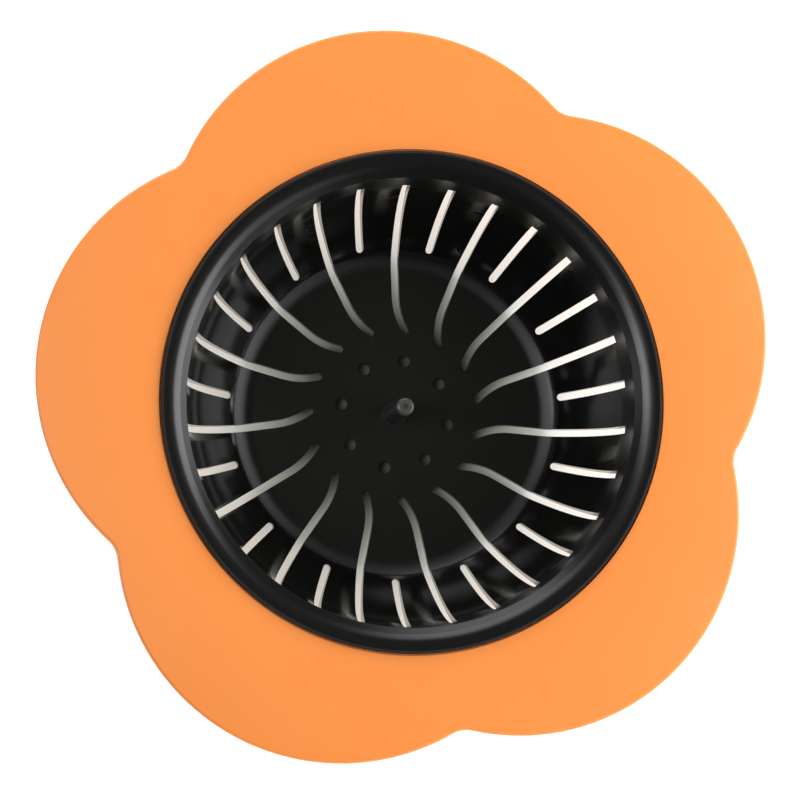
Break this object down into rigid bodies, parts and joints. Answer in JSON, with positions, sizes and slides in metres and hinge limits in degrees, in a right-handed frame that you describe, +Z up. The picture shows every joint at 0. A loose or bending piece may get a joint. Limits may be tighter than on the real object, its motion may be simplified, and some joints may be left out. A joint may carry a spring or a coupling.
{
  "type": "sink strainer",
  "caption": "Sink strainer: a soft flower-shaped collar lies round the drain, and a slotted basket with a central lift post hangs in it by its rim and lifts out.",
  "frame": {"origin": "on the strainer's axis, in the plane of the collar's flat underside, which rests on the sink", "axes": "+Z up along the axis of collar and basket, +Y through the tip of one petal"},
  "size_m": [0.1142, 0.1121, 0.0277],
  "materials": {
    "collar_rubber": "matte moulded soft rubber, orange",
    "basket_plastic": "black moulded plastic, glossy inside, satin on the rim"
  },
  "bodies": {
    "collar": {"flower_collar": "collar_rubber"},
    "basket": {"strainer_basket": "basket_plastic"}
  },
  "joints": [
    {"name": "basket_lift", "type": "slide", "parent": "collar", "child": "basket", "axis": [0, 0, 1], "range_m": [0, 0.035]}
  ]
}
